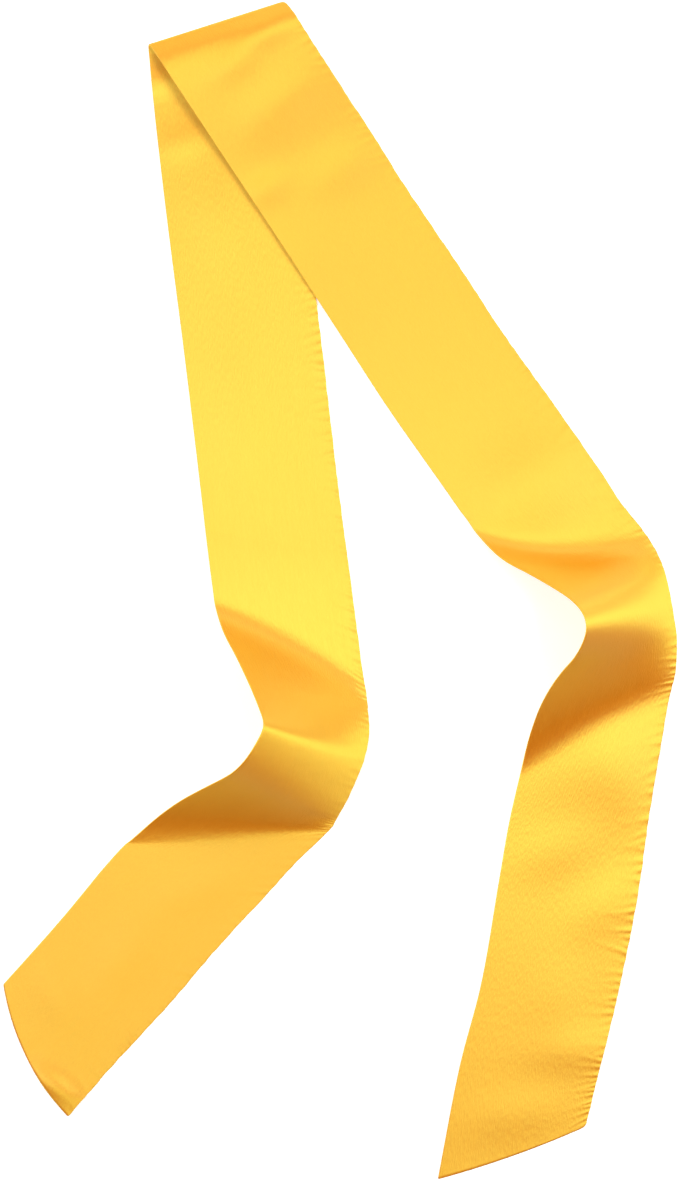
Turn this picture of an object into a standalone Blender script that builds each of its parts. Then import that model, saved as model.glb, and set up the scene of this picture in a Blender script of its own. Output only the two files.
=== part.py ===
"""A skinny satin scarf, laid flat and folded over once near its middle.

The scarf is one long strip of satin, two plies thick. Its left edge is the cloth's own lengthwise
fold and its right edge is the seam. Both ends are cut on a slant. The under tail lies on the
surface, the cloth turns over at the top, and the over tail comes down on it and to the right.
Each tail is styled into one ripple where it changes direction: the cloth on the inner side of the
bend has length to spare, so it stands up.

Every stretch is a loft through straight sections across the strip. A section has a place for its
left end and its right end on the surface and the lift of the cloth at both. The tables hold those
sections, in millimetres: X to the right, Y up the length of the scarf, the origin under the middle.

Run it with: blender --background --python part.py
"""

import math
from collections import namedtuple

import bmesh
import bpy
import numpy as np

MM = 0.001

# Driving sizes, in millimetres and degrees
CLOTH = 1.2  # wall of the two pressed plies
JOIN_GAP = 0.3  # between two stretches of the same cloth
ACROSS = 10  # spaces across the strip
FINE_STEP = 1.0  # spacing at which a course is worked out before sections are picked
SOFTNESS = 2.5  # how far a bend in the cloth is eased on each side
LONGEST_SPACE = 24.0  # between two sections on flat cloth
TURN_PER_SPACE = 5.0  # degrees that the cloth may turn between two sections

TOP_FOLD_RADIUS_LEFT = 1.9  # at the pinched corner, to the middle of the wall
TOP_FOLD_RADIUS_RIGHT = 2.7
TOP_FOLD_START = -90.0  # degrees: flat on the surface
TOP_FOLD_END = 70.0  # degrees: still rising to the crown of the over tail
TOP_FOLD_SPACES = 14

TIP_CURL_HEIGHT = 8.0  # the pointed corner of the under tail turns up
TIP_CURL_REACH = 27.0

SATIN_YELLOW = (0.86, 0.50, 0.05, 1.0)
SATIN_ROUGHNESS = 0.35

# One section across the strip. Lifts are those of the cloth's underside, and bow is how far the
# middle of the section is pushed down the scarf.
Section = namedtuple("Section", "place left_x left_y left_lift right_x right_y right_lift bow")

UNDER_TAIL = [
    Section("slanted end", -168.0, -197.5, 0, -136.0, -263.0, 0, 5.5),
    Section("end corner", -153.5, -181.5, 0, -112.0, -235.5, 0, 1.5),
    Section("lower run", -138.5, -164.5, 0, -87.0, -208.5, 0, 0),
    Section("lower run", -126.5, -150.0, 0, -58.5, -175.5, 0, 0),
    Section("below the ripple", -117.5, -139.0, 0, -37.5, -153.0, 0, 0),
    Section("below the ripple", -106.5, -127.0, 0, -19.0, -133.0, 0, 0),
    Section("lower foot", -99.5, -121.5, 0, -6.0, -119.5, 0, 0),
    Section("fall", -89.0, -112.0, 6.5, -3.5, -115.5, 0.3, 0),
    Section("fall", -78.5, -104.5, 15.5, -0.5, -111.5, 1.0, 0),
    Section("fall", -65.5, -97.0, 27.0, 2.5, -106.5, 1.5, 0),
    Section("shoulder", -52.5, -89.5, 38.5, 5.5, -100.0, 2.0, 0),
    Section("shoulder", -44.0, -82.0, 45.5, 9.0, -92.0, 3.5, 0),
    Section("brow", -39.0, -73.0, 48.0, 12.0, -83.5, 4.5, 0),
    Section("crest", -36.5, -65.0, 48.5, 13.5, -77.0, 4.5, 0),
    Section("rise", -37.5, -60.5, 46.0, 14.0, -72.5, 4.5, 0),
    Section("rise", -41.0, -52.5, 39.5, 14.5, -67.0, 4.0, 0),
    Section("rise", -46.0, -42.0, 30.0, 14.0, -61.5, 3.0, -0.5),
    Section("rise", -51.5, -31.5, 19.5, 13.5, -56.0, 1.5, -1.0),
    Section("rise", -57.0, -22.0, 9.0, 13.0, -51.0, 1.0, -1.5),
    Section("upper foot", -61.0, -11.5, 0, 12.0, -46.0, 0, -2.5),
    Section("above the ripple", -62.5, -2.0, 0, 10.0, -31.0, 0, -2.0),
    Section("above the ripple", -65.5, 20.0, 0, 5.5, 2.5, 0, -1.0),
    Section("upper run", -69.0, 50.0, 0, 0.5, 40.0, 0, 0),
    Section("upper run", -77.0, 116.5, 0, -9.5, 124.0, 0, 0),
    Section("upper run", -87.0, 195.0, 0, -19.0, 203.0, 0, 0),
    Section("below the top fold", -92.0, 238.5, 0, -25.0, 252.5, 0, 0),
    Section("start of the top fold", -95.0, 271.0, 0, -29.0, 292.0, 0, 0),
]

OVER_TAIL = [
    Section("end of the top fold", -94.0, 271.5, 3.7, -26.5, 291.5, 5.3, 0),
    Section("up to the crown", -90.5, 266.0, 5.2, -23.0, 286.5, 7.2, 0),
    Section("crown", -86.5, 260.0, 6.0, -19.5, 281.5, 8.3, 0),
    Section("crown", -80.5, 251.0, 6.2, -15.5, 275.0, 7.8, 0),
    Section("down from the crown", -69.5, 234.5, 4.8, -5.0, 259.0, 4.6, 0),
    Section("down from the crown", -55.5, 213.5, 2.9, 6.0, 242.5, 1.9, 0),
    Section("over the under tail", -41.5, 192.5, 2.7, 18.0, 224.5, 0.3, 0),
    Section("over the under tail", -25.0, 167.5, 3.0, 31.5, 203.0, 0, 0),
    Section("past the under tail", -9.5, 143.5, 1.8, 47.0, 180.0, 0, 0),
    Section("down on the surface", 5.5, 120.5, 0.2, 61.5, 158.5, 0, 0),
    Section("upper run", 22.0, 95.0, 0, 78.5, 132.5, 0, 0),
    Section("upper run", 53.5, 50.0, 0, 108.5, 90.0, 0, 1.0),
    Section("above the ripple", 61.5, 38.5, 0, 131.0, 57.5, 0, 3.0),
    Section("above the ripple", 66.5, 31.5, 0, 141.5, 42.0, 0, 4.5),
    Section("upper foot", 71.0, 25.0, 0, 150.0, 31.0, 0, 5.5),
    Section("rise", 81.5, 15.0, 11.0, 155.5, 23.5, 1.5, 4.5),
    Section("rise", 93.5, 8.0, 25.0, 158.5, 18.5, 2.0, 3.0),
    Section("rise", 104.0, 1.5, 36.5, 160.5, 14.0, 3.0, 1.5),
    Section("rise", 112.5, -4.5, 45.0, 162.5, 9.0, 3.5, 0.5),
    Section("rise", 118.0, -11.0, 49.0, 164.0, 2.5, 3.5, 0),
    Section("crest", 120.0, -18.5, 49.5, 165.5, -4.5, 3.5, 0),
    Section("fall", 118.5, -25.0, 46.5, 167.0, -13.0, 3.0, 0),
    Section("fall", 115.0, -32.5, 40.5, 168.0, -21.0, 3.0, 0),
    Section("fall", 109.5, -39.5, 32.0, 168.0, -28.0, 3.0, 0),
    Section("fall", 104.0, -48.0, 22.0, 167.5, -34.5, 3.0, 0),
    Section("fall", 99.5, -57.5, 12.5, 167.0, -42.0, 2.5, 0),
    Section("fall", 95.5, -70.0, 3.5, 165.5, -48.5, 1.5, 0),
    Section("lower foot", 92.5, -82.0, 0, 163.5, -57.0, 0, 0),
    Section("below the ripple", 90.0, -92.5, 0, 161.0, -73.0, 0, 0),
    Section("below the ripple", 85.0, -117.0, 0, 155.0, -108.5, 0, 0),
    Section("lower run", 80.0, -146.0, 0, 149.0, -150.5, 0, 0),
    Section("lower run", 70.5, -200.0, 0, 138.0, -205.5, 0, 0),
    Section("end corner", 60.5, -238.0, 0, 129.5, -240.0, 0, 0.5),
    Section("slanted end", 49.5, -294.5, 0, 122.5, -268.5, 0, 1.5),
]


def clear_scene():
    """Remove whatever the scene holds."""
    for thing in list(bpy.data.objects):
        bpy.data.objects.remove(thing, do_unlink=True)


def lay_section(section):
    """Points across the strip in the middle of the cloth's wall, left to right."""
    share = np.linspace(0.0, 1.0, ACROSS + 1)[:, None]
    left = np.array([section.left_x, section.left_y, section.left_lift + CLOTH / 2])
    right = np.array([section.right_x, section.right_y, section.right_lift + CLOTH / 2])
    points = left + (right - left) * share
    width = math.hypot(right[0] - left[0], right[1] - left[1])
    down = np.array([right[1] - left[1], left[0] - right[0], 0.0]) / width
    return points + down * section.bow * 4 * share * (1 - share)


def length_along(course):
    """Distance along the middle of the strip at each section."""
    middle = course[:, ACROSS // 2]
    steps = np.linalg.norm(np.diff(middle, axis=0), axis=1)
    return np.concatenate([[0.0], np.cumsum(steps)])


def cubic_through(course):
    """Finely spaced sections on a smooth curve through the given ones."""
    along = length_along(course)
    slope = np.gradient(course, along, axis=0)
    fine = np.linspace(0.0, along[-1], int(along[-1] / FINE_STEP) + 1)
    before = np.clip(np.searchsorted(along, fine, side="right") - 1, 0, len(along) - 2)
    space = (along[before + 1] - along[before])[:, None, None]
    part = ((fine - along[before]) / space[:, 0, 0])[:, None, None]
    start = (1 + 2 * part) * (1 - part) ** 2 * course[before]
    start += part * (1 - part) ** 2 * space * slope[before]
    end = part**2 * (3 - 2 * part) * course[before + 1]
    end += part**2 * (part - 1) * space * slope[before + 1]
    return start + end


def ease_bends(course):
    """Spread each bend over a few millimetres, and hold both ends where they are."""
    reach = int(3 * SOFTNESS / FINE_STEP)
    weights = np.exp(-0.5 * (np.arange(-reach, reach + 1) * FINE_STEP / SOFTNESS) ** 2)
    weights /= weights.sum()
    before = 2 * course[0] - course[reach:0:-1]
    after = 2 * course[-1] - course[-2 : -reach - 2 : -1]
    padded = np.concatenate([before, course, after])
    count = len(course)
    return sum(weight * padded[k : k + count] for k, weight in enumerate(weights))


def pick_sections(course):
    """Keep a section where the cloth has turned a little, or a flat stretch has grown long."""
    heading = np.gradient(course, axis=0)
    heading /= np.linalg.norm(heading, axis=2, keepdims=True)
    along = length_along(course)
    kept = [0]
    for k in range(1, len(course) - 1):
        turned = np.einsum("ij,ij->i", heading[k], heading[kept[-1]]).min()
        angle = math.degrees(math.acos(min(1.0, turned)))
        if angle > TURN_PER_SPACE or along[k] - along[kept[-1]] > LONGEST_SPACE:
            kept.append(k)
    if along[-1] - along[kept[-1]] < 2 * FINE_STEP:
        kept.pop()
    return course[kept + [len(course) - 1]]


def tail_course(sections):
    """Smooth lofted course of one tail, resting on the surface where it is not lifted."""
    course = cubic_through(np.array([lay_section(section) for section in sections]))
    course[..., 2] = np.maximum(course[..., 2], CLOTH / 2)
    return ease_bends(course)


def curl_tip(course, tip):
    """Turn up the pointed corner of a slanted end."""
    away = np.hypot(course[..., 0] - tip.right_x, course[..., 1] - tip.right_y)
    near = np.clip(1.0 - away / TIP_CURL_REACH, 0.0, 1.0)
    course[..., 2] += TIP_CURL_HEIGHT * near**2


def top_fold_course(start, end):
    """The turn of the cloth from the under tail to the over tail, a soft slanted roll."""
    first = lay_section(start)
    last = lay_section(end)
    share = np.linspace(0.0, 1.0, ACROSS + 1)[:, None]
    radius = TOP_FOLD_RADIUS_LEFT + (TOP_FOLD_RADIUS_RIGHT - TOP_FOLD_RADIUS_LEFT) * share
    ridge = last[-1] - last[0]
    outward = np.array([-ridge[1], ridge[0], 0.0]) / math.hypot(ridge[0], ridge[1])
    trim = math.degrees(JOIN_GAP / TOP_FOLD_RADIUS_LEFT)
    turn = TOP_FOLD_END - TOP_FOLD_START
    course = []
    for angle in np.linspace(TOP_FOLD_START + trim, TOP_FOLD_END - trim, TOP_FOLD_SPACES + 1):
        done = (angle - TOP_FOLD_START) / turn
        tilt = math.radians(angle)
        flat = math.cos(tilt) - done * math.cos(math.radians(TOP_FOLD_END))
        row = first + (last - first) * done + outward * radius * flat
        row[:, 2] = CLOTH / 2 + radius[:, 0] * (1 + math.sin(tilt))
        course.append(row)
    return np.array(course)


def satin(name):
    """Plain yellow satin."""
    material = bpy.data.materials.new(name)
    material.use_nodes = True
    shader = material.node_tree.nodes["Principled BSDF"]
    shader.inputs["Base Color"].default_value = SATIN_YELLOW
    shader.inputs["Roughness"].default_value = SATIN_ROUGHNESS
    shader.inputs["Metallic"].default_value = 0.0
    return material


def cloth_wall(name, course, collection):
    """Give a course of sections the thickness of the cloth."""
    shape = bmesh.new()
    rows = [[shape.verts.new(point * MM) for point in section] for section in course]
    for this, following in zip(rows, rows[1:]):
        for k in range(ACROSS):
            shape.faces.new((this[k], this[k + 1], following[k + 1], following[k]))
    mesh = bpy.data.meshes.new(name)
    shape.to_mesh(mesh)
    shape.free()
    mesh.shade_smooth()
    mesh.materials.append(satin(name + "_satin"))
    stretch = bpy.data.objects.new(name, mesh)
    collection.objects.link(stretch)
    wall = stretch.modifiers.new("wall", "SOLIDIFY")
    wall.thickness = CLOTH * MM
    wall.offset = 0.0
    return stretch


def build_scarf():
    """Make the three stretches of the strip."""
    clear_scene()
    collection = bpy.data.collections.new("skinny_scarf")
    bpy.context.scene.collection.children.link(collection)
    under = tail_course(UNDER_TAIL)
    curl_tip(under, UNDER_TAIL[0])
    over = tail_course(OVER_TAIL)
    cloth_wall("under_tail", pick_sections(under), collection)
    cloth_wall("top_fold", top_fold_course(UNDER_TAIL[-1], OVER_TAIL[0]), collection)
    cloth_wall("over_tail", pick_sections(over), collection)


build_scarf()
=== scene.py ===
# %% [markdown]
# A skinny satin scarf, laid flat and folded over once
#
# The real object is one long, narrow strip of satin. It is cut twice as wide as it finishes, folded
# lengthwise, sewn along one long edge and at both slanted ends, turned inside out and pressed. So
# one long edge is a soft fold of the cloth and the other is a seam with small puckers.
# It lies on a table, seen from straight above. The under tail runs up the picture, the cloth turns
# over at the top, and the over tail comes down on it. Each tail changes direction half way. There
# the inner edge of the bend has length to spare, so the cloth stands up in one high ripple.
# This lesson lofts that strip from short tables of its own sections, gives it its soft edges, its
# puckers and its slow waves, and then makes the satin and the light that shows it.

import math
from collections import namedtuple

import bpy
import numpy as np
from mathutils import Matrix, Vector


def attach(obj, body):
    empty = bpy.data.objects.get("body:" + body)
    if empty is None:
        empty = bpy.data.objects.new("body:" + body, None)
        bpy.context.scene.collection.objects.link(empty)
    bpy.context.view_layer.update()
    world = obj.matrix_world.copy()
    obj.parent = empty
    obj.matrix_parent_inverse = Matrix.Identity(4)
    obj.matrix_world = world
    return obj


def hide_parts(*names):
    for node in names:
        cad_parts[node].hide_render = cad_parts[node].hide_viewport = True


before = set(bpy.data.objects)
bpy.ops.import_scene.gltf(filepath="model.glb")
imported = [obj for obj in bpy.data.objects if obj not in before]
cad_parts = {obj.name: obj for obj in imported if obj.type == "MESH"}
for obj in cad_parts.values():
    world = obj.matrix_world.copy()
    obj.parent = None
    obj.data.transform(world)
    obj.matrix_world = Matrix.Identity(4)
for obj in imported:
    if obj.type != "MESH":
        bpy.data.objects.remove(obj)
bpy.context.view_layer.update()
MM = 0.001
print("frame nodes:", sorted(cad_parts))

# %% [markdown]
# The course of the strip
#
# Cloth bends easily and hardly stretches. A narrow strip of it can only take shapes that are made
# of straight lines across the strip, such as a bent sheet of paper has. So the whole scarf can be
# told by a list of those straight sections: where the left and the right end of each one lies on
# the table, and how high the cloth's underside is there. A drape simulation could also find a
# ripple, but not this one: here the lay of the cloth is the thing to show, so it is given section by
# section.

# %% Sizes and sections of the strip, in millimetres
CLOTH = 0.9  # two pressed plies, a little fuller than life so that the edges read
STRIP_WIDTH = 67.5
STRIP_LENGTH = 1250.0

# The bow is how far the middle of a section lies further down the picture than its two ends do.
Section = namedtuple("Section", "place left_x left_y left_lift right_x right_y right_lift bow")

UNDER_TAIL = [
    Section("slanted end", -168.0, -197.5, 0, -136.0, -263.0, 0, 5.5),
    Section("end corner", -153.5, -181.5, 0, -112.0, -235.5, 0, 1.5),
    Section("lower run", -138.5, -164.5, 0, -87.0, -208.5, 0, 0),
    Section("lower run", -126.5, -150.0, 0, -58.5, -175.5, 0, 0),
    Section("below the ripple", -117.5, -139.0, 0, -37.5, -153.0, 0, 0),
    Section("below the ripple", -106.5, -127.0, 0, -19.0, -133.0, 0, 0),
    Section("lower foot", -103.5, -124.7, 0, -8.2, -122.8, 0, 0),
    Section("fall", -89.5, -112.5, 7.0, -5.2, -119.6, 0.1, 0),
    Section("fall", -78.5, -104.5, 17.5, -3.8, -118.0, 0.3, 0),
    Section("fall", -65.5, -97.0, 30.5, -2.5, -115.5, 0.6, 0),
    Section("edge of the steep part", -52.5, -89.6, 42.4, -0.5, -112.0, 2.0, 0),
    Section("shoulder", -46.8, -84.2, 46.6, 2.8, -106.0, 3.8, 0),
    Section("shoulder", -42.3, -78.0, 48.9, 5.8, -99.5, 4.7, 0),
    Section("crest", -39.0, -72.3, 49.7, 7.6, -95.5, 5.1, 0),
    Section("crest", -37.3, -68.8, 49.9, 9.4, -91.2, 5.2, 0),
    Section("crest", -36.5, -66.2, 49.9, 11.0, -87.4, 5.2, 0),
    Section("crest", -36.5, -64.0, 49.0, 12.2, -83.6, 5.0, 0),
    Section("rise", -37.9, -60.0, 45.6, 13.6, -77.6, 4.4, 0),
    Section("rise", -41.0, -52.5, 39.5, 14.5, -70.5, 4.0, 0),
    Section("rise", -46.0, -42.0, 30.0, 14.0, -61.5, 3.0, -0.5),
    Section("rise", -51.5, -31.5, 19.5, 13.5, -56.0, 1.5, -1.0),
    Section("rise", -57.0, -22.0, 9.0, 13.0, -51.0, 1.0, -1.5),
    Section("upper foot", -61.7, -8.5, 0, 11.5, -42.5, 0, -2.5),
    Section("above the ripple", -63.0, 0.5, 0, 9.5, -28.0, 0, -2.0),
    Section("above the ripple", -65.5, 20.0, 0, 5.5, 2.5, 0, -1.0),
    Section("upper run", -69.0, 50.0, 0, 0.5, 40.0, 0, 0),
    Section("upper run", -77.0, 116.5, 0, -9.5, 124.0, 0, 0),
    Section("upper run", -87.0, 195.0, 0, -19.0, 203.0, 0, 0),
    Section("below the top fold", -92.0, 238.5, 0, -25.0, 252.5, 0, 0),
    Section("start of the top fold", -95.2, 271.6, 0, -28.5, 292.8, 0, 0),
]

OVER_TAIL = [
    Section("end of the top fold", -94.3, 271.8, 2.0, -27.0, 292.8, 2.8, 0),
    Section("up to the crown", -92.2, 268.8, 4.0, -24.9, 289.8, 5.5, 0),
    Section("up to the crown", -90.3, 265.9, 5.9, -23.0, 286.9, 7.5, 0),
    Section("up to the crown", -88.4, 263.1, 6.9, -21.2, 284.2, 8.3, 0),
    Section("crown", -86.3, 259.8, 7.5, -19.2, 281.0, 8.5, 0),
    Section("crown", -80.5, 251.0, 7.6, -15.3, 274.8, 8.4, 0),
    Section("down from the crown", -69.5, 234.5, 6.6, -5.0, 259.0, 6.7, 0),
    Section("down from the crown", -55.5, 213.5, 4.4, 6.0, 242.5, 3.6, 0),
    Section("over the under tail", -41.5, 192.5, 3.2, 18.0, 224.5, 1.2, 0),
    Section("over the under tail", -25.0, 167.5, 3.0, 31.5, 203.0, 0, 0),
    Section("past the under tail", -9.5, 143.5, 1.8, 47.0, 180.0, 0, 0),
    Section("down on the surface", 5.5, 120.5, 0.2, 61.5, 158.5, 0, 0),
    Section("upper run", 22.0, 95.0, 0, 78.5, 132.5, 0, 0),
    Section("upper run", 53.5, 50.0, 0, 108.5, 90.0, 0, 1.0),
    Section("above the ripple", 61.5, 38.5, 0, 131.0, 57.5, 0, 3.0),
    Section("above the ripple", 64.5, 34.5, 0, 139.5, 44.5, 0, 4.0),
    Section("upper foot", 69.4, 27.4, 0, 149.0, 32.8, 0, 6.5),
    Section("rise", 81.5, 15.0, 11.5, 155.3, 23.5, 1.5, 5.0),
    Section("rise", 93.5, 8.0, 26.0, 158.4, 18.0, 2.0, 3.0),
    Section("rise", 104.0, 1.5, 38.0, 160.8, 12.5, 3.0, 1.5),
    Section("rise", 112.5, -4.5, 47.0, 162.6, 6.5, 3.5, 0.5),
    Section("rise", 118.0, -11.0, 50.9, 164.4, -1.5, 3.5, 0),
    Section("crest", 119.9, -18.5, 51.3, 165.9, -10.0, 3.5, 0),
    Section("fall", 118.5, -25.0, 49.0, 167.0, -17.0, 3.2, 0),
    Section("fall", 115.0, -32.5, 43.5, 167.8, -22.5, 3.0, 0),
    Section("fall", 109.5, -39.5, 36.0, 168.0, -29.5, 2.8, 0),
    Section("fall", 104.0, -48.0, 27.5, 167.8, -36.0, 2.5, 0),
    Section("fall", 99.5, -57.5, 18.5, 167.2, -41.5, 2.0, -1.0),
    Section("fall", 95.5, -70.0, 8.5, 166.2, -46.5, 1.2, -2.0),
    Section("lower foot", 91.2, -89.0, 0, 163.6, -57.5, 0, -2.5),
    Section("below the ripple", 88.8, -99.5, 0, 160.6, -75.0, 0, -1.0),
    Section("below the ripple", 85.0, -117.0, 0, 155.0, -108.5, 0, 0),
    Section("lower run", 80.0, -146.0, 0, 149.0, -150.5, 0, 0),
    Section("lower run", 70.5, -200.0, 0, 138.0, -205.5, 0, 0),
    Section("end corner", 60.5, -238.0, 0, 129.5, -240.0, 0, 0.5),
    Section("slanted end", 49.5, -294.5, 0, 122.5, -268.5, 0, 1.5),
]
for tail in (UNDER_TAIL, OVER_TAIL):
    highest = max(tail, key=lambda section: section.left_lift)
    print(len(tail), "sections, the highest at the", highest.place, "with", highest.left_lift, "mm")

# %% [markdown]
# From sections to a smooth course
#
# A cubic curve through the ends of the sections gives the sections in between. Its bends are then
# eased over a few millimetres, as satin never shows a sharp corner unless it is pressed. Columns
# across the strip are closer together near both edges, where the rounding and the puckers are.

# %% Smooth courses of the two tails
FINE_STEP = 1.0
SOFTNESS = 2.0  # how far a bend is eased on each side where the cloth stands up
FOOT_SOFTNESS = 5.0  # the same for its height where it comes down on the table
CRISP_ABOVE = 8.0  # and the height from which it counts as standing up
EASED_REACHES = 3  # an easing curve has died out at three times its reach
EDGE_COLUMNS = [0.0, 0.4, 0.9, 1.5, 2.3, 3.3, 4.6, 6.2, 8.0]  # from either edge
MIDDLE_COLUMN_SPACE = 2.3


def columns_across():
    """Shares of the strip's width at which it has a column of points."""
    edge = np.array(EDGE_COLUMNS) / STRIP_WIDTH
    middle = 1 - 2 * edge[-1]
    count = round(middle * STRIP_WIDTH / MIDDLE_COLUMN_SPACE)
    return np.concatenate([edge, edge[-1] + middle * np.arange(1, count) / count, 1 - edge[::-1]])


ACROSS = columns_across()


def lay_section(section):
    """Points across the strip in the middle of the cloth, left to right."""
    share = ACROSS[:, None]
    left = np.array([section.left_x, section.left_y, section.left_lift + CLOTH / 2])
    right = np.array([section.right_x, section.right_y, section.right_lift + CLOTH / 2])
    points = left + (right - left) * share
    width = math.hypot(right[0] - left[0], right[1] - left[1])
    down = np.array([right[1] - left[1], left[0] - right[0], 0.0]) / width
    return points + down * section.bow * 4 * share * (1 - share)


def length_along(course):
    """Distance along the middle of the strip at each section."""
    middle = course[:, course.shape[1] // 2]
    steps = np.linalg.norm(np.diff(middle, axis=0), axis=1)
    return np.concatenate([[0.0], np.cumsum(steps)])


def cubic_through(course, step):
    """Closely spaced sections on a smooth curve through the given ones."""
    along = length_along(course)
    slope = np.gradient(course, along, axis=0)
    slope[..., 2][course[..., 2] <= CLOTH / 2] = 0.0  # level where it rests on the table
    fine = np.linspace(0.0, along[-1], round(along[-1] / step) + 1)
    before = np.clip(np.searchsorted(along, fine, side="right") - 1, 0, len(along) - 2)
    space = (along[before + 1] - along[before])[:, None, None]
    part = (fine - along[before])[:, None, None] / space
    start = (1 + 2 * part) * (1 - part) ** 2 * course[before]
    start += part * (1 - part) ** 2 * space * slope[before]
    end = part**2 * (3 - 2 * part) * course[before + 1]
    end += part**2 * (part - 1) * space * slope[before + 1]
    return start + end


def ease_bends(course, reach_mm, step):
    """Spread each bend over a few millimetres, and hold both ends where they are."""
    reach = int(EASED_REACHES * reach_mm / step)
    weights = np.exp(-0.5 * (np.arange(-reach, reach + 1) * step / reach_mm) ** 2)
    weights /= weights.sum()
    before = 2 * course[0] - course[reach:0:-1]
    after = 2 * course[-1] - course[-2 : -reach - 2 : -1]
    padded = np.concatenate([before, course, after])
    count = len(course)
    return sum(weight * padded[shift : shift + count] for shift, weight in enumerate(weights))


def tail_course(sections):
    """Smooth course of one tail, resting on the table where it is not lifted."""
    course = cubic_through(np.array([lay_section(section) for section in sections]), FINE_STEP)
    course[..., 2] = np.maximum(course[..., 2], CLOTH / 2)
    crisp = ease_bends(course, SOFTNESS, FINE_STEP)
    slack = ease_bends(course, FOOT_SOFTNESS, FINE_STEP)[..., 2]
    lifted = np.clip(course[..., 2].max(axis=1) / CRISP_ABOVE, 0.0, 1.0)[:, None]
    crisp[..., 2] = slack + (crisp[..., 2] - slack) * lifted
    return crisp


under = tail_course(UNDER_TAIL)
over = tail_course(OVER_TAIL)
print("tails are", round(length_along(under)[-1]), "and", round(length_along(over)[-1]), "mm long")

# %% [markdown]
# Slow swells in the flat runs
#
# Satin that has been carried and laid down never lies quite flat. Low swells, most of them under
# 2 mm high, stand off the table, and the gloss shows each as a soft light and dark patch. Each row
# of the table is one of them, lifted from the course as a rounded hill that may be longer one way.

# %% Lift the swells
# Long and short are how far a hill reaches its longer and its shorter way, and the turn is the
# angle of its longer way in degrees from the picture's right.
Swell = namedtuple("Swell", "x y long short turn height")

UNDER_SWELLS = [
    Swell(-92.0, 254.0, 12.0, 7.0, 15.0, 0.9),
    Swell(-78.0, 224.0, 14.0, 8.0, 20.0, 0.5),
    Swell(-62.0, 190.0, 26.0, 15.0, 100.0, 0.5),
    Swell(-50.0, 90.0, 40.0, 14.0, 97.0, 0.5),
    Swell(-70.0, 20.0, 22.0, 10.0, 80.0, 0.4),
    Swell(-70.0, -150.0, 26.0, 10.0, 20.0, 0.5),
    Swell(-108.0, -185.0, 24.0, 12.0, 50.0, 0.6),
    Swell(-140.0, -205.0, 18.0, 10.0, 120.0, 0.6),
    Swell(-142.0, -248.0, 14.0, 6.0, -35.0, 2.4),  # the tip falls away behind it
]

OVER_SWELLS = [
    Swell(-37.0, 277.0, 14.0, 6.5, 20.0, 1.2),
    Swell(-52.0, 262.0, 14.0, 7.0, 30.0, 0.8),
    Swell(-30.0, 240.0, 26.0, 13.0, 40.0, 1.5),
    Swell(-36.0, 200.0, 12.0, 8.0, 30.0, 1.2),
    Swell(0.0, 210.0, 20.0, 11.0, 30.0, 1.2),
    Swell(40.0, 130.0, 34.0, 16.0, 110.0, 0.8),
    Swell(96.0, 52.0, 36.0, 24.0, 35.0, 2.6),  # before the ripple
    Swell(128.0, -80.0, 40.0, 34.0, 15.0, 3.0),  # behind the ripple
    Swell(140.0, -98.0, 24.0, 13.0, 110.0, 0.4),
    Swell(108.0, -130.0, 22.0, 13.0, 20.0, 0.6),
    Swell(134.0, -158.0, 24.0, 13.0, 30.0, 0.7),
    Swell(108.0, -205.0, 26.0, 14.0, 80.0, 0.6),
    Swell(124.0, -230.0, 28.0, 11.0, 5.0, 0.8),
    Swell(90.0, -262.0, 26.0, 12.0, 10.0, 0.6),
]


def lift_swells(course, swells):
    """Raise low rounded hills in the cloth."""
    for swell in swells:
        turn = math.radians(swell.turn)
        east = course[..., 0] - swell.x
        north = course[..., 1] - swell.y
        along = east * math.cos(turn) + north * math.sin(turn)
        beside = north * math.cos(turn) - east * math.sin(turn)
        from_top = (along / swell.long) ** 2 + (beside / swell.short) ** 2
        course[..., 2] += swell.height * np.exp(-from_top)


lift_swells(under, UNDER_SWELLS)
lift_swells(over, OVER_SWELLS)
print("swells:", len(UNDER_SWELLS) + len(OVER_SWELLS))

# %% [markdown]
# The fold-over at the top
#
# The cloth turns over in a soft roll. At the left corner it is pinched, and it opens to the
# right. So the roll goes round a slanted axis, and its radius grows from left to right. The first
# sections of the over tail finish the turn. The tails and the roll are then one course, whose rows
# are spaced evenly again.

# %% Roll the fold and join the whole strip
FOLD_RADIUS_LEFT = 1.2
FOLD_RADIUS_RIGHT = 1.65
FOLD_START = -90.0  # degrees: flat on the table
FOLD_END = 45.0  # degrees: still rising to the crown of the over tail
FOLD_SPACES = 20
ROW_STEP = 0.65
FOLD_CORNER_RADIUS = 2.5  # the right corner of the fold is rounded
END_CORNER_RADIUS = 2.0  # and so is the inner corner of the over tail's end


def fold_course(start, end):
    """The turn of the cloth from the under tail to the over tail."""
    share = ACROSS[:, None]
    radius = FOLD_RADIUS_LEFT + (FOLD_RADIUS_RIGHT - FOLD_RADIUS_LEFT) * share
    ridge = end[-1] - end[0]
    outward = np.array([-ridge[1], ridge[0], 0.0]) / math.hypot(ridge[0], ridge[1])
    rows = []
    for done in np.arange(1, FOLD_SPACES) / FOLD_SPACES:
        tilt = math.radians(FOLD_START + (FOLD_END - FOLD_START) * done)
        reach = math.cos(tilt) - done * math.cos(math.radians(FOLD_END))
        row = start + (end - start) * done + outward * radius * reach
        rise = math.sin(tilt) + 1 - done * (math.sin(math.radians(FOLD_END)) + 1)
        row[:, 2] += radius[:, 0] * rise
        rows.append(row)
    return np.array(rows)


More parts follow.
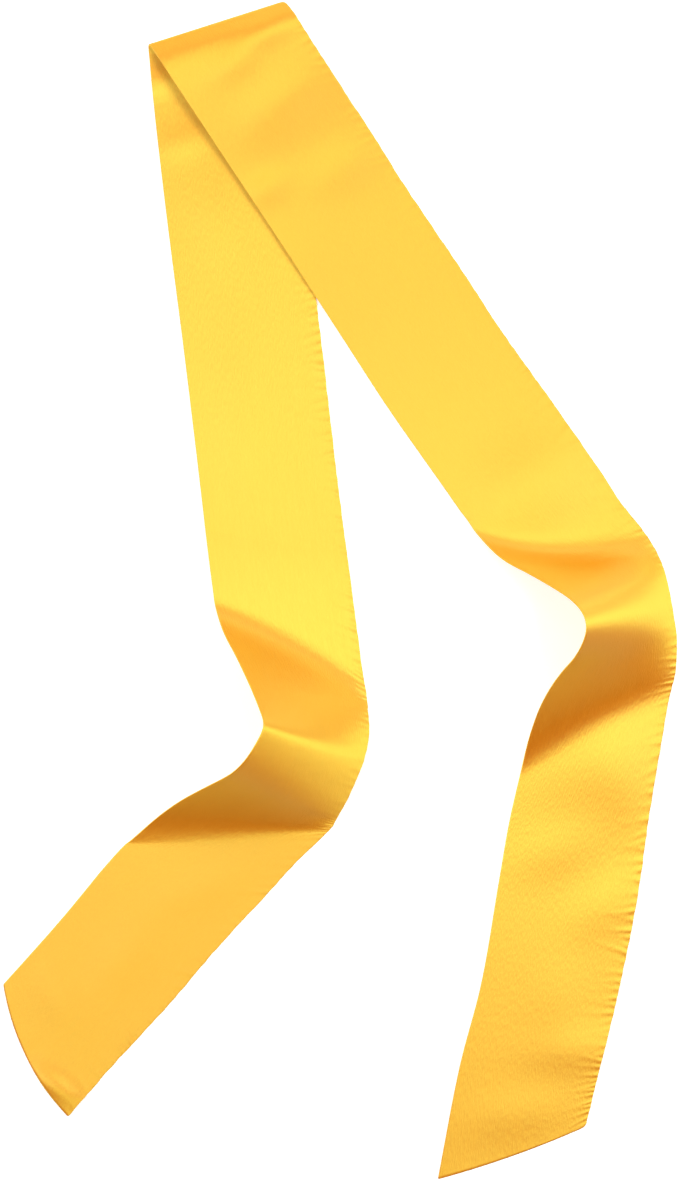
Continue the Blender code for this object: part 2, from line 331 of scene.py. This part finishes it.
def even_rows(course, step):
    """The same course with its rows evenly spaced along the middle of the strip."""
    along = length_along(course)
    wanted = np.linspace(0.0, along[-1], round(along[-1] / step) + 1)
    flat = course.reshape(len(course), -1)
    spaced = np.stack([np.interp(wanted, along, values) for values in flat.T], axis=1)
    return spaced.reshape(len(wanted), *course.shape[1:])


def round_right_corner(course, along, place, radius):
    """Draw in the right edge of the strip round a corner at one place along it."""
    for row in np.flatnonzero(np.abs(along - place) < radius):
        gap = radius - abs(along[row] - place)
        inset = radius - math.sqrt(radius**2 - gap**2)
        keep = ACROSS * (1 - inset / STRIP_WIDTH)
        for axis in range(3):
            course[row, :, axis] = np.interp(keep, ACROSS, course[row, :, axis])


fold = fold_course(under[-1], over[0])
strip = even_rows(np.concatenate([under, fold, over]), ROW_STEP)
ALONG = length_along(strip)
UNDER_LENGTH = length_along(under)[-1]
FOLD_MIDDLE = UNDER_LENGTH + length_along(fold)[-1] / 2
round_right_corner(strip, ALONG, FOLD_MIDDLE, FOLD_CORNER_RADIUS)
round_right_corner(strip, ALONG, ALONG[-1], END_CORNER_RADIUS)
print("strip:", strip.shape[0], "rows of", strip.shape[1], "points,", round(ALONG[-1]), "mm long")

# %% [markdown]
# Puckers along the seam
#
# The right edge is the seam. The stitches pull the satin in every 4 to 5 mm, and between them it
# stands up in small puckers that die out within a few millimetres. The two slanted ends are sewn
# the same way. The puckers are added as small hills, each with its own height and reach from a
# seeded generator. The left edge is only a fold of the cloth and has none.

# %% Add the puckers
PUCKER_SPACE = 4.6
PUCKER_HEIGHT = 0.34
PUCKER_REACH = 3.6  # how far into the cloth
PUCKER_LENGTH = 1.25  # along the seam
SPACE_RANGE = (0.7, 1.3)  # shares of the usual space between two puckers
HEIGHT_RANGE = (0.35, 1.0)  # and of the usual height
REACH_RANGE = (0.6, 1.6)  # and of the usual reach
LEAN_RANGE = (-0.35, 0.35)  # how far a pucker leans along the seam for each millimetre inward
SEAM_SLACK = 0.16  # how far the seam line wanders in and out
SEED = 7
random = np.random.default_rng(SEED)


def pucker_places(length):
    """Uneven places of the puckers along a seam."""
    count = int(length / PUCKER_SPACE)
    return np.cumsum(PUCKER_SPACE * random.uniform(*SPACE_RANGE, count))


def pucker_lift(along, away):
    """Height of the puckers at a distance along the seam and away from it."""
    lift = np.zeros(np.broadcast(along, away).shape)
    for place in pucker_places(float(np.max(along))):
        height = PUCKER_HEIGHT * random.uniform(*HEIGHT_RANGE)
        reach = PUCKER_REACH * random.uniform(*REACH_RANGE)
        lean = random.uniform(*LEAN_RANGE)
        beside = (along - place - lean * away) / PUCKER_LENGTH
        lift += height * np.exp(-(beside**2) - away / reach)
    return lift


def seam_wander(along):
    """Small steps of the seam line in and out of the cloth."""
    knots = np.arange(0.0, along[-1] + PUCKER_SPACE, PUCKER_SPACE / 2)
    return np.interp(along, knots, random.uniform(-SEAM_SLACK, SEAM_SLACK, len(knots)))


def directions_on(course):
    """Unit vectors at each point: out of the cloth, and across it to the right."""
    ahead = np.gradient(course, axis=0)
    across = np.gradient(course, axis=1)
    across /= np.linalg.norm(across, axis=2, keepdims=True)
    normal = np.cross(across, ahead)
    return normal / np.linalg.norm(normal, axis=2, keepdims=True), across


from_left = ACROSS[None, :] * STRIP_WIDTH
from_seam = STRIP_WIDTH - from_left
lift = pucker_lift(ALONG[:, None], from_seam)
lift += pucker_lift(from_left, ALONG[:, None])
lift += pucker_lift(from_left, ALONG[-1] - ALONG[:, None])
outward, to_seam = directions_on(strip)
strip[..., 2] += lift * np.abs(outward[..., 2])
wander = seam_wander(ALONG)[:, None] * np.exp(-from_seam / PUCKER_REACH)
strip += wander[..., None] * to_seam
print("puckers lift the seam by up to", round(float(lift.max()), 2), "mm")

# %% [markdown]
# One closed shell with soft edges
#
# Each row of the strip becomes a ring: over the top from left to right, round the seam edge, back
# along the underside, and round the folded edge. The rings are lofted into a tube, and the two
# ends thin out to the line where the plies are sewn together. A Solidify modifier would be
# quicker, but its edges are square, and the edge of turned satin is a small soft roll.
# The shell is in three lengths, which meet where the cloth lies flat or out of sight. Each has a
# texture space of its own, because the strip turns and the shine has to turn with its threads.

# %% Turn the course into a shell
EDGE_TURNS = 5  # steps round each long edge
END_ROUNDING = 0.6  # how far from an end the cloth starts to thin out
END_LEFT = 0.02  # square of the share of its thickness that is left at the very end
SHARP_ANGLE = 60.0  # degrees: only the caps meet the cloth more sharply
LOWER_LENGTH = 330.0  # the under tail is parted on the flat run above its ripple
JOIN_BEFORE_FOLD = 5.0  # the two tails meet out of sight, just before the fold
ALL_COLUMNS = range(len(ACROSS))
FEWER_COLUMNS = range(0, len(ACROSS), 2)  # enough for the side that lies face down
UV_NAME = "cloth_mm"

# The threads run straight up at the level. Below it they lean more and more to the right, by one
# in one when they are a whole turn lower, and with a negative turn to the left. Both are in
# millimetres up the picture.
Lean = namedtuple("Lean", "level turn")
LOWER_LEAN = Lean(-24.0, 166.0)
UPPER_LEAN = Lean(566.0, -2077.0)
OVER_LEAN = Lean(-101.0, 430.0)
FAR_AWAY = 4000.0  # how far to one side the texture space has its centre
UNIT = 100.0  # size of the texture space up the picture


def half_thickness(along):
    """Half the cloth's thickness at each row, running out at both ends."""
    to_end = np.minimum(along, along[-1] - along) / END_ROUNDING
    return CLOTH / 2 * np.sqrt(np.clip(1 - (1 - np.clip(to_end, 0, 1)) ** 2, END_LEFT, 1))


def shell_rings(rows, front, back):
    """Rings of points round the cloth, and how far across the strip each point lies."""
    course, out, across = strip[rows], normal[rows], across_unit[rows]
    half = half_thickness(ALONG)[rows][:, None]
    turns = np.linspace(0.0, math.pi, EDGE_TURNS + 1)[1:-1]
    ring = [course[:, column] + half * out[:, column] for column in front]
    ring += [
        course[:, -1] + half * (out[:, -1] * math.cos(turn) + across[:, -1] * math.sin(turn))
        for turn in turns
    ]
    ring += [course[:, column] - half * out[:, column] for column in reversed(back)]
    ring += [
        course[:, 0] - half * (out[:, 0] * math.cos(turn) + across[:, 0] * math.sin(turn))
        for turn in turns
    ]
    places = [ACROSS[column] for column in front] + [1.0] * len(turns)
    places += [ACROSS[column] for column in reversed(back)] + [0.0] * len(turns)
    return np.stack(ring, axis=1), np.array(places) * STRIP_WIDTH


def loft(name, rows, front, back, lean):
    """A closed mesh from the rings, capped at both ends."""
    rings, places = shell_rings(rows, front, back)
    count, around = rings.shape[:2]
    here = np.arange(count * around).reshape(count, around)
    beside = np.roll(here, -1, axis=1)
    faces = np.stack([here[:-1], here[1:], beside[1:], beside[:-1]], axis=-1).reshape(-1, 4)
    mesh = bpy.data.meshes.new(name)
    caps = [list(here[0]), list(here[-1][::-1])]
    mesh.from_pydata((rings.reshape(-1, 3) * MM).tolist(), [], faces.tolist() + caps)
    mesh.shade_smooth()
    mesh.set_sharp_from_angle(angle=math.radians(SHARP_ANGLE))
    corner = np.empty(len(mesh.loops), dtype=np.int32)
    mesh.loops.foreach_get("vertex_index", corner)
    flat = np.stack(np.meshgrid(ALONG[rows], places, indexing="ij"), axis=-1).reshape(-1, 2)
    mesh.uv_layers.new(name=UV_NAME).uv.foreach_set("vector", flat[corner].ravel())
    mesh.use_auto_texspace = False
    mesh.texspace_location = (-math.copysign(FAR_AWAY, lean.turn) * MM, lean.level * MM, 0.0)
    mesh.texspace_size = (FAR_AWAY / abs(lean.turn) * UNIT * MM, UNIT * MM, UNIT * MM)
    piece = bpy.data.objects.new(name, mesh)
    bpy.context.scene.collection.objects.link(piece)
    return piece


normal, across_unit = directions_on(strip)
split = int(np.searchsorted(ALONG, LOWER_LENGTH))
join = int(np.searchsorted(ALONG, UNDER_LENGTH - JOIN_BEFORE_FOLD))
lower_piece = loft("under_tail_lower_cloth", slice(0, split + 1), ALL_COLUMNS, FEWER_COLUMNS, LOWER_LEAN)
upper_piece = loft("under_tail_upper_cloth", slice(split, join + 1), ALL_COLUMNS, FEWER_COLUMNS, UPPER_LEAN)
over_piece = loft("over_tail_cloth", slice(join, None), FEWER_COLUMNS, ALL_COLUMNS, OVER_LEAN)
for piece in (lower_piece, upper_piece, over_piece):
    print(piece.name, "triangles:", sum(len(face.vertices) - 2 for face in piece.data.polygons))

# %% [markdown]
# Tools for the materials
#
# A material is a drawing of boxes and wires, and its sums are hard to read as such. One small
# class holds a wire, so that they can be written as ordinary sums, and adds any other box.

# %% Small tools for materials


class Wire:
    """A node's output, on which sums are written as in ordinary Python."""

    def __init__(self, tree, socket=None):
        self.tree = tree
        self.socket = socket

    def node(self, kind, settings, inputs, output=0):
        """Add any node: its type, its settings, then values or wires for its inputs."""
        made = self.tree.nodes.new(kind)
        for name, value in settings.items():
            setattr(made, name, value)
        for name, value in inputs.items():
            if isinstance(value, Wire):
                self.tree.links.new(value.socket, made.inputs[name])
            else:
                made.inputs[name].default_value = value
        return Wire(self.tree, made.outputs[output])

    def sum_of(self, operation, first, second):
        return self.node("ShaderNodeMath", {"operation": operation}, {0: first, 1: second})

    def __add__(self, other):
        return self.sum_of("ADD", self, other)

    def __radd__(self, other):
        return self.sum_of("ADD", other, self)

    def __sub__(self, other):
        return self.sum_of("SUBTRACT", self, other)

    def __rsub__(self, other):
        return self.sum_of("SUBTRACT", other, self)

    def __mul__(self, other):
        return self.sum_of("MULTIPLY", self, other)

    def __rmul__(self, other):
        return self.sum_of("MULTIPLY", other, self)

    def __truediv__(self, other):
        return self.sum_of("DIVIDE", self, other)

    def __rtruediv__(self, other):
        return self.sum_of("DIVIDE", other, self)


def new_material(name, plain):
    """A material, its shader with plain values set, and a first wire without an output."""
    material = bpy.data.materials.new(name)
    material.use_nodes = True
    shader = material.node_tree.nodes["Principled BSDF"]
    for socket, value in plain.items():
        shader.inputs[socket].default_value = value
    return material, shader, Wire(material.node_tree)


# %% [markdown]
# The satin
#
# Satin has long threads floating side by side along the strip. Each is a tiny shining cylinder: it
# spreads light widely across the strip and hardly along it. So the satin is bright where it lies
# level along its length, however much it leans sideways, and dark on every slope. A plain shader
# with a deep orange body colour and a strong, pale, stretched gloss does the same. Its tangent
# comes from the mesh's texture space, whose centre lies far to one side of each piece, so that the
# rings round it run along the strip. A quarter turn then stretches the gloss across the threads.
# Their fine streaks are noise, drawn out along the strip by the map in millimetres. They change
# the colour, the roughness and a small bump. An image of the cloth could also give the streaks,
# but it would show its pixels close up.

# %% Make the satin
SATIN_BODY = (0.80, 0.185, 0.001, 1.0)
SATIN_BODY_DEEP = (0.74, 0.160, 0.001, 1.0)
SATIN_PLAIN = {
    "Specular Tint": (0.87, 1.0, 0.14, 1.0),
    "IOR": 2.8,
    "Specular IOR Level": 1.0,
    "Anisotropic": 0.9,
    "Anisotropic Rotation": 0.25,
    "Coat Weight": 0.3,
    "Coat Roughness": 0.45,
}
SATIN_ROUGHNESS = 0.70
ROUGHNESS_CHANGE = 0.2
THREAD_DEPTH = 0.16  # millimetres
THREAD_GRAIN = (3.4, 0.6)  # sizes of the noise in millimetres, along and across the strip
SLUB_GRAIN = (20.0, 1.2)
CLOUD_GRAIN = (26.0, 10.0)
THREAD_SHARE, SLUB_SHARE, CLOUD_SHARE = 0.4, 0.35, 0.25  # of each noise in the colour
SHADE_CONTRAST = 2.0  # how far the noise is spread about its middle
GRAIN_DETAIL = 2.0
MIX_FIRST, MIX_SECOND, MIX_COLOUR_OUT = 6, 7, 2  # the Mix node's sockets for colours


def satin_material():
    """Two-share satin with a grain of threads along the strip."""
    material, shader, start = new_material("gold_satin", SATIN_PLAIN)
    cloth_map = start.node("ShaderNodeUVMap", {"uv_map": UV_NAME}, {})
    along = start.node("ShaderNodeSeparateXYZ", {}, {0: cloth_map}, output=0)
    across = start.node("ShaderNodeSeparateXYZ", {}, {0: cloth_map}, output=1)

    def grain(size):
        spot = start.node("ShaderNodeCombineXYZ", {}, {0: along / size[0], 1: across / size[1]})
        inputs = {"Vector": spot, "Scale": 1.0, "Detail": GRAIN_DETAIL}
        return start.node("ShaderNodeTexNoise", {"noise_dimensions": "2D"}, inputs)

    thread, slub, cloud = grain(THREAD_GRAIN), grain(SLUB_GRAIN), grain(CLOUD_GRAIN)
    noise = THREAD_SHARE * thread + SLUB_SHARE * slub + CLOUD_SHARE * cloud
    shade = SHADE_CONTRAST * noise - (SHADE_CONTRAST - 1) / 2
    body = {0: shade, MIX_FIRST: SATIN_BODY_DEEP, MIX_SECOND: SATIN_BODY}
    colour = start.node("ShaderNodeMix", {"data_type": "RGBA"}, body, output=MIX_COLOUR_OUT)
    roughness = SATIN_ROUGHNESS + ROUGHNESS_CHANGE * ((thread + slub) / 2 - 0.5)
    bump = {"Strength": 1.0, "Distance": THREAD_DEPTH * MM, "Height": thread}
    relief = start.node("ShaderNodeBump", {}, bump)
    for name, wire in (("Base Color", colour), ("Roughness", roughness), ("Normal", relief)):
        start.tree.links.new(wire.socket, shader.inputs[name])
    return material


satin = satin_material()
for piece in (lower_piece, upper_piece, over_piece):
    piece.data.materials.append(satin)
print("satin:", len(satin.node_tree.nodes), "nodes")

# %% [markdown]
# The table, the light and the camera
#
# The photo is a cut-out on pure white, taken from straight above, with no shadow left in it. So
# the table is a pale sheet that glows a little, and the light is a few softboxes. Three at the
# sides are mirrored by the flat runs and the crests, and three beyond the top light the slopes
# above each crest. The slopes that face the near side mirror no lamp, and stay dark. The camera is
# far above, so that the ripples lean out of the picture no more than they do there.

# %% Set out the table, the softboxes and the camera
FLOOR_SIDE = 6.0  # metres
FLOOR_DROP = 0.0003  # metres
FLOOR_PLAIN = {
    "Base Color": (0.9, 0.9, 0.9, 1.0),
    "Roughness": 0.7,
    "Emission Color": (1.0, 1.0, 1.0, 1.0),
    "Emission Strength": 0.35,
}
PHOTO_HEIGHT = 1183  # pixels
ORIGIN_ROW = 590  # the photo's row of pixels at which y is 0
MM_PER_PIXEL = 0.5
LENS = 100.0  # millimetres
SENSOR = 36.0  # millimetres
ROOM_LIGHT = 0.05
BOX_DISTANCE = 1.6  # metres

# The bearing is in degrees from the right side round by the far side, the elevation in degrees
# above the table, the size in metres and the power in watts.
Softbox = namedtuple("Softbox", "name bearing elevation size power")

SOFTBOXES = [
    Softbox("right side", 0, 55, 0.7, 17.0),
    Softbox("left side", 180, 55, 0.7, 8.0),
    Softbox("high left", 180, 70, 0.6, 9.0),
    Softbox("high far right", 45, 70, 0.6, 1.8),
    Softbox("far side", 78, 38, 0.8, 9.5),
    Softbox("low far left", 135, 20, 0.7, 6.5),
]


def put(name, data):
    """Add an object to the scene."""
    thing = bpy.data.objects.new(name, data)
    bpy.context.scene.collection.objects.link(thing)
    return thing


def make_floor():
    """A wide pale table top just under the scarf."""
    mesh = bpy.data.meshes.new("floor")
    side = FLOOR_SIDE / 2
    corners = [(-side, -side, 0), (side, -side, 0), (side, side, 0), (-side, side, 0)]
    mesh.from_pydata(corners, [], [range(4)])
    mesh.materials.append(new_material("pale_table", FLOOR_PLAIN)[0])
    floor = put("floor", mesh)
    floor.location.z = -FLOOR_DROP


def light_box(box):
    """A softbox that faces the middle of the scarf."""
    lamp = bpy.data.lights.new(box.name, "AREA")
    lamp.shape = "SQUARE"
    lamp.size = box.size
    lamp.energy = box.power
    thing = put(box.name, lamp)
    bearing, elevation = math.radians(box.bearing), math.radians(box.elevation)
    level = math.cos(elevation)
    way = Vector((math.cos(bearing) * level, math.sin(bearing) * level, math.sin(elevation)))
    thing.location = way * BOX_DISTANCE
    thing.rotation_mode = "QUATERNION"
    thing.rotation_quaternion = way.to_track_quat("Z", "Y")


def room_light():
    """A little even light from the room."""
    world = bpy.data.worlds.new("room")
    world.use_nodes = True
    world.node_tree.nodes["Background"].inputs["Color"].default_value = (1, 1, 1, 1)
    world.node_tree.nodes["Background"].inputs["Strength"].default_value = ROOM_LIGHT
    bpy.context.scene.world = world


def set_camera():
    """The photo's view: straight down, with the photo's height just in the picture."""
    camera = bpy.data.cameras.new("camera")
    camera.lens = LENS
    camera.sensor_width = SENSOR
    thing = put("camera", camera)
    above = PHOTO_HEIGHT * MM_PER_PIXEL * MM * LENS / SENSOR
    middle = (ORIGIN_ROW - PHOTO_HEIGHT / 2) * MM_PER_PIXEL * MM
    thing.location = (0.0, middle, above)
    bpy.context.scene.camera = thing
    bpy.context.scene.view_settings.view_transform = "Standard"
    return above


make_floor()
for box in SOFTBOXES:
    light_box(box)
room_light()
print("camera is", round(set_camera(), 3), "m above the table")

# %% [markdown]
# Fasten the scarf to the frame
#
# All the pieces belong to the one rigid body. The over piece stands in for two nodes, the top fold
# and the over tail, as the cloth has no break between them. Each piece lists the flat size of its
# stretch of the finished strip, how it lies and what it rests on.

# %% Fasten the pieces and hide the nodes they stand in for
Piece = namedtuple("Piece", "cloth nodes length held rests_on")

PIECES = [
    Piece(lower_piece, ["under_tail"], ALONG[split], "laid", ["floor"]),
    Piece(upper_piece, ["under_tail"], ALONG[join] - ALONG[split], "laid", ["floor"]),
    Piece(
        over_piece,
        ["top_fold", "over_tail"],
        STRIP_LENGTH - ALONG[join],
        "folded",
        ["floor", "under_tail_upper_cloth"],
    ),
]
for piece in PIECES:
    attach(piece.cloth, "root")
    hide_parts(*piece.nodes)
